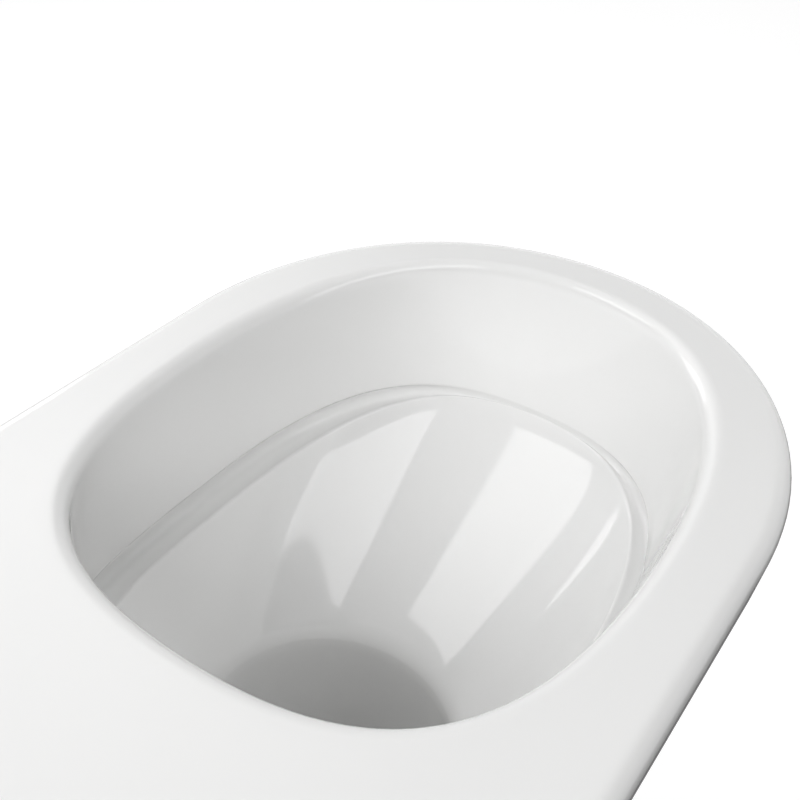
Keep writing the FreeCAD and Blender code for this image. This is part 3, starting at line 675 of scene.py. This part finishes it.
def cut(target, cutter):
    """Takes one solid out of another and keeps the result as the target's own mesh."""
    tool = target.modifiers.new("holes", "BOOLEAN")
    tool.operation = "DIFFERENCE"
    tool.solver = "EXACT"
    tool.object = cutter
    bpy.context.view_layer.update()
    result = bpy.data.meshes.new_from_object(target.evaluated_get(bpy.context.evaluated_depsgraph_get()))
    target.modifiers.clear()
    whole, shape = target.data, cutter.data
    target.data = result
    result.name = target.name
    bpy.data.objects.remove(cutter)
    bpy.data.meshes.remove(whole)
    bpy.data.meshes.remove(shape)


def build_pan(sizes, holes):
    """The whole pan: bowl, deck, skirt and underside in one surface, with its holes cut into it."""
    bm = bmesh.new()
    bowl = [egg_half(sizes, row) for row in bowl_rows(sizes)]
    body = body_rings(sizes)
    foot = body[-1]
    floor_seam = [Vector((0, point.y, point.z)) for point in bowl[0]]
    foot_seam = [foot[0].lerp(foot[-1], i / (len(foot) - 1)) for i in range(len(foot))]
    deck = [[a.lerp(b, t) for a, b in zip(bowl[-1], body[0])] for t in DECK_ROWS]
    loft(bm, [floor_seam] + bowl + deck + body + [foot_seam])
    half = bm.verts[:] + bm.edges[:] + bm.faces[:]
    bmesh.ops.mirror(bm, geom=half, axis="X", merge_dist=MERGE_DISTANCE)
    clean(bm)
    pan = mesh_object("glazed_pan", bm)
    for shape in (straight_holes, side_holes, trap_passage):
        cut(pan, shape(sizes, holes))
    bm = bmesh.new()
    bm.from_mesh(pan.data)
    clean(bm)
    if not bm.faces or any(not edge.is_manifold for edge in bm.edges):
        raise RuntimeError("The pan is not one closed surface after its holes were cut")
    soften(bm)
    bm.to_mesh(pan.data)
    bm.free()
    return pan


class Nodes:
    """Small helper for building a node tree."""

    def __init__(self, tree):
        self.tree = tree

    def add(self, kind, **values):
        """Adds a node and sets its own properties, or else its inputs of that name."""
        node = self.tree.nodes.new(kind)
        for key, value in values.items():
            if hasattr(node, key):
                setattr(node, key, value)
            else:
                node.inputs[key.replace("_", " ").title()].default_value = value
        return node

    def join(self, source, target):
        """Links an output to an input."""
        self.tree.links.new(source, target)

    def combine(self, operation, first, second):
        """Two values put together by an operation, such as their product or the larger of them."""
        node = self.add("ShaderNodeMath", operation=operation)
        self.join(first, node.inputs[0])
        self.join(second, node.inputs[1])
        return node.outputs["Value"]

    def distance(self, source, middle):
        """How far a place is from a middle."""
        node = self.add("ShaderNodeVectorMath", operation="DISTANCE")
        node.inputs[1].default_value = middle
        self.join(source, node.inputs[0])
        return node.outputs["Value"]

    def mapped(self, source, **values):
        """A value carried over from one range to another."""
        node = self.add("ShaderNodeMapRange", **values)
        self.join(source, node.inputs["Value"])
        return node.outputs["Result"]

    def camera_rays(self):
        """Where a ray comes straight from the camera."""
        return self.add("ShaderNodeLightPath").outputs["Is Camera Ray"]

    def mirror_rays(self):
        """Where a ray comes from a mirror-like or clear surface."""
        rays = self.add("ShaderNodeLightPath")
        return self.combine("MAXIMUM", rays.outputs["Is Glossy Ray"], rays.outputs["Is Transmission Ray"])


def surface_group(name):
    """A node group whose colour, roughness and height vary over a fired, moulded or plated surface."""
    group = bpy.data.node_groups.get(name)
    if group:
        return group
    surface = SURFACES[name]
    group = bpy.data.node_groups.new(name, "ShaderNodeTree")
    group.interface.new_socket("Colour", in_out="INPUT", socket_type="NodeSocketColor")
    group.interface.new_socket("Colour", in_out="OUTPUT", socket_type="NodeSocketColor")
    group.interface.new_socket("Roughness", in_out="OUTPUT", socket_type="NodeSocketFloat")
    group.interface.new_socket("Height", in_out="OUTPUT", socket_type="NodeSocketFloat")
    n = Nodes(group)
    given, out = n.add("NodeGroupInput"), n.add("NodeGroupOutput")
    place = n.add("ShaderNodeTexCoord").outputs["Object"]
    stretched = n.add("ShaderNodeMapping", scale=surface.stretch)
    cloud = n.add("ShaderNodeTexNoise", scale=surface.shade_scale, detail=CLOUD_DETAIL)
    grain = n.add("ShaderNodeTexNoise", scale=surface.grain_scale, detail=GRAIN_DETAIL)
    n.join(place, cloud.inputs["Vector"])
    n.join(place, stretched.inputs["Vector"])
    n.join(stretched.outputs["Vector"], grain.inputs["Vector"])
    tone = n.mapped(cloud.outputs["Fac"], to_min=1.0 - surface.shade, to_max=1.0)
    polish = n.mapped(grain.outputs["Fac"], to_min=surface.rough[0], to_max=surface.rough[1])
    shaded = n.add("ShaderNodeVectorMath", operation="SCALE")
    n.join(given.outputs["Colour"], shaded.inputs[0])
    n.join(tone, shaded.inputs["Scale"])
    n.join(shaded.outputs["Vector"], out.inputs["Colour"])
    n.join(polish, out.inputs["Roughness"])
    n.join(grain.outputs["Fac"], out.inputs["Height"])
    return group


def finish_material(name, colours):
    """A material whose colour, roughness and bump come from the finish's surface group."""
    finish = FINISHES[name]
    material = bpy.data.materials.new(name)
    material.use_nodes = True
    n = Nodes(material.node_tree)
    shader = material.node_tree.nodes["Principled BSDF"]
    shader.inputs["Metallic"].default_value = finish.metallic
    shader.inputs["Coat Weight"].default_value = finish.coat
    shader.inputs["Coat Roughness"].default_value = COAT_ROUGHNESS
    shader.inputs["IOR"].default_value = SURFACE_IOR
    surface = n.add("ShaderNodeGroup")
    surface.node_tree = surface_group(finish.surface)
    surface.inputs["Colour"].default_value = (*getattr(colours, finish.colour), 1.0)
    strength, depth = finish.bump
    relief = n.add("ShaderNodeBump", strength=strength, distance=depth)
    n.join(surface.outputs["Colour"], shader.inputs["Base Color"])
    n.join(surface.outputs["Roughness"], shader.inputs["Roughness"])
    n.join(surface.outputs["Height"], relief.inputs["Height"])
    n.join(relief.outputs["Normal"], shader.inputs["Normal"])
    return material


def dress(target, material):
    """Gives an object one material."""
    target.data.materials.clear()
    target.data.materials.append(material)


def node_object(name):
    """A CAD node's own object, or an error if the frame has none."""
    if name not in frame["nodes"]:
        raise RuntimeError(f"The frame has no node {name}")
    return frame["nodes"][name]


def finish_nodes(finish, colours):
    """Gives a finish to every CAD node that has its slot in the record."""
    pieces = frame["record"]["subparts"]
    names = [piece["node"] for piece in pieces if piece["material_slot"] == finish]
    if not names:
        raise RuntimeError(f"The frame has no piece with the finish {finish}")
    material = finish_material(finish, colours)
    for name in names:
        dress(node_object(name), material)


class TOILET_OT_pan(bpy.types.Operator):
    """Build the glazed ceramic pan"""

    bl_idname = "toilet.pan"
    bl_label = "Ceramic pan"

    def execute(self, context):
        pan = build_pan(context.scene.pan_sizes, context.scene.hole_sizes)
        dress(pan, finish_material("white_glaze", context.scene.finishes))
        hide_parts("ceramic_pan")
        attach(pan, "pan")
        return {"FINISHED"}


class TOILET_OT_inserts(bpy.types.Operator):
    """Finish the flush spreader and the sleeves round the fixing blocks"""

    bl_idname = "toilet.inserts"
    bl_label = "Spreader and sleeves"

    def execute(self, context):
        finish_nodes("white_plastic", context.scene.finishes)
        return {"FINISHED"}


class TOILET_OT_seals(bpy.types.Operator):
    """Finish the rubber seals of the flush inlet and the outlet"""

    bl_idname = "toilet.seals"
    bl_label = "Seals"

    def execute(self, context):
        finish_nodes("black_rubber", context.scene.finishes)
        return {"FINISHED"}


class TOILET_OT_pipes(bpy.types.Operator):
    """Finish the flush pipe and the waste connector"""

    bl_idname = "toilet.pipes"
    bl_label = "Pipes"

    def execute(self, context):
        finish_nodes("black_pipe", context.scene.finishes)
        return {"FINISHED"}


class TOILET_OT_mat(bpy.types.Operator):
    """Finish the foam mat between the pan and the wall"""

    bl_idname = "toilet.mat"
    bl_label = "Sound mat"

    def execute(self, context):
        finish_nodes("foam", context.scene.finishes)
        return {"FINISHED"}


class TOILET_OT_hardware(bpy.types.Operator):
    """Finish the wall studs, washers, nuts and clamp screws"""

    bl_idname = "toilet.hardware"
    bl_label = "Studs and screws"

    def execute(self, context):
        finish_nodes("zinc_steel", context.scene.finishes)
        return {"FINISHED"}


class TOILET_OT_blocks(bpy.types.Operator):
    """Finish the fixing blocks and the clamp bushes"""

    bl_idname = "toilet.blocks"
    bl_label = "Fixing blocks"

    def execute(self, context):
        finish_nodes("grey_plastic", context.scene.finishes)
        return {"FINISHED"}


class TOILET_OT_caps(bpy.types.Operator):
    """Finish the caps over the side holes"""

    bl_idname = "toilet.caps"
    bl_label = "Side caps"

    def execute(self, context):
        finish_nodes("cap_white", context.scene.finishes)
        return {"FINISHED"}


class TOILET_OT_stage(bpy.types.Operator):
    """Add the floor, the backdrop, the lamps and the camera"""

    bl_idname = "toilet.stage"
    bl_label = "Stage"

    def execute(self, context):
        scene = context.scene
        settings = scene.stage_settings
        scene.view_settings.view_transform = "Standard"
        floor = self.floor(settings)
        dress(floor, self.pale_floor(settings))
        scene.world = self.backdrop(settings)
        for name, lamp in LAMPS.items():
            self.softbox(scene, name, lamp)
        scene.camera = self.camera(scene, settings)
        return {"FINISHED"}

    @staticmethod
    def floor(settings):
        """A square floor below the pan."""
        bm = bmesh.new()
        bmesh.ops.create_grid(bm, x_segments=1, y_segments=1, size=settings.floor_reach)
        bmesh.ops.translate(bm, verts=bm.verts[:], vec=(0, 0, settings.floor_height))
        return mesh_object("floor", bm)

    @staticmethod
    def pale_floor(settings):
        """A floor that the camera sees white, and mirrors too, save near the pan, where it is bare."""
        material = bpy.data.materials.new("pale_floor")
        material.use_nodes = True
        n = Nodes(material.node_tree)
        shader = material.node_tree.nodes["Principled BSDF"]
        shader.inputs["Base Color"].default_value = (*settings.floor, 1.0)
        shader.inputs["Roughness"].default_value = FLOOR_ROUGHNESS
        shader.inputs["Emission Color"].default_value = (1.0, 1.0, 1.0, 1.0)
        place = n.add("ShaderNodeTexCoord").outputs["Object"]
        clear = n.mapped(
            n.distance(place, (0, -settings.shadow_middle, settings.floor_height)),
            interpolation_type="SMOOTHSTEP",
            from_min=settings.shadow_inner,
            from_max=settings.shadow_outer,
        )
        mirrored = n.combine("MULTIPLY", n.mirror_rays(), clear)
        seen = n.combine("MAXIMUM", n.camera_rays(), mirrored)
        n.join(n.mapped(seen, to_max=settings.floor_lift), shader.inputs["Emission Strength"])
        return material

    @staticmethod
    def backdrop(settings):
        """A dim sky that lights the object, with a white horizon for the camera and mirrors."""
        world = bpy.data.worlds.new("studio")
        world.use_nodes = True
        n = Nodes(world.node_tree)
        sky = world.node_tree.nodes["Background"]
        sky.inputs["Color"].default_value = (*settings.sky, 1.0)
        height = n.add("ShaderNodeSeparateXYZ")
        n.join(n.add("ShaderNodeTexCoord").outputs["Generated"], height.inputs["Vector"])
        low = n.mapped(
            height.outputs["Z"],
            interpolation_type="SMOOTHSTEP",
            from_min=settings.ceiling_edge,
            from_max=settings.backdrop_edge,
        )
        seen = n.combine("MAXIMUM", n.camera_rays(), n.mirror_rays())
        white = n.combine("MULTIPLY", seen, low)
        n.join(n.mapped(white, to_min=settings.sky_level, to_max=1.0), sky.inputs["Strength"])
        return world

    @staticmethod
    def softbox(scene, name, lamp):
        """A rectangular lamp that faces its target."""
        light = bpy.data.lights.new(name, "AREA")
        light.shape = "RECTANGLE"
        light.size, light.size_y = lamp.size
        light.energy = lamp.power
        made = bpy.data.objects.new(name, light)
        scene.collection.objects.link(made)
        ahead = Vector(lamp.target) - Vector(lamp.place)
        facing = ahead.to_track_quat("-Z", "Y").to_matrix().to_4x4()
        turned = facing @ Matrix.Rotation(math.radians(lamp.turn), 4, "Z")
        made.matrix_world = Matrix.Translation(lamp.place) @ turned
        made.visible_glossy = lamp.mirrored
        if lamp.soft:
            TOILET_OT_stage.soften_rim(light)

    @staticmethod
    def soften_rim(light):
        """Lets a lamp's light fade evenly from its middle to its rim."""
        light.use_nodes = True
        n = Nodes(light.node_tree)
        middle = Vector((0.5, 0.5, 0))
        across = n.add("ShaderNodeNewGeometry").outputs["Parametric"]
        fade = n.mapped(n.distance(across, middle), from_max=middle.x, to_min=1.0, to_max=0.0)
        emission = next(node for node in light.node_tree.nodes if node.type == "EMISSION")
        n.join(fade, emission.inputs["Strength"])

    @staticmethod
    def camera(scene, settings):
        """A camera at its place, turned by its yaw, pitch and roll."""
        eye = bpy.data.cameras.new("camera")
        eye.lens = settings.camera_lens
        eye.sensor_width = SENSOR_WIDTH
        eye.clip_start = NEAREST_SEEN
        camera = bpy.data.objects.new("camera", eye)
        scene.collection.objects.link(camera)
        yaw, pitch, roll = settings.camera_yaw, settings.camera_pitch, settings.camera_roll
        level = math.cos(pitch)
        ahead = Vector((math.sin(yaw) * level, -math.cos(yaw) * level, -math.sin(pitch)))
        right = ahead.cross(Vector((0, 0, 1))).normalized()
        up = right.cross(ahead)
        across = right * math.cos(roll) + up * math.sin(roll)
        upright = up * math.cos(roll) - right * math.sin(roll)
        turn = Matrix((across, upright, -ahead)).transposed().to_4x4()
        camera.matrix_world = Matrix.Translation(settings.camera_place) @ turn
        return camera


class TOILET_PT_panel(bpy.types.Panel):
    """Buttons for the pieces and the stage"""

    bl_idname = "TOILET_PT_panel"
    bl_label = "Wall hung toilet"
    bl_space_type = "VIEW_3D"
    bl_region_type = "UI"
    bl_category = "Toilet"

    def draw(self, context):
        for operator in OPERATORS:
            self.layout.operator(operator.bl_idname)


OPERATORS = (
    TOILET_OT_pan,
    TOILET_OT_inserts,
    TOILET_OT_seals,
    TOILET_OT_pipes,
    TOILET_OT_mat,
    TOILET_OT_hardware,
    TOILET_OT_blocks,
    TOILET_OT_caps,
    TOILET_OT_stage,
)
GROUPS = {
    "pan_sizes": PanSizes,
    "hole_sizes": HoleSizes,
    "finishes": Finishes,
    "stage_settings": StageSettings,
}


def register():
    for group in GROUPS.values():
        bpy.utils.register_class(group)
    for operator in (*OPERATORS, TOILET_PT_panel):
        bpy.utils.register_class(operator)
    for name, group in GROUPS.items():
        setattr(bpy.types.Scene, name, PointerProperty(type=group))


def unregister():
    for name in GROUPS:
        delattr(bpy.types.Scene, name)
    for operator in (TOILET_PT_panel, *reversed(OPERATORS)):
        bpy.utils.unregister_class(operator)
    for group in reversed(GROUPS.values()):
        bpy.utils.unregister_class(group)


def main():
    register()
    bpy.ops.toilet.pan()
    bpy.ops.toilet.inserts()
    bpy.ops.toilet.seals()
    bpy.ops.toilet.pipes()
    bpy.ops.toilet.mat()
    bpy.ops.toilet.hardware()
    bpy.ops.toilet.blocks()
    bpy.ops.toilet.caps()
    bpy.ops.toilet.stage()


if __name__ == "__main__":
    main()
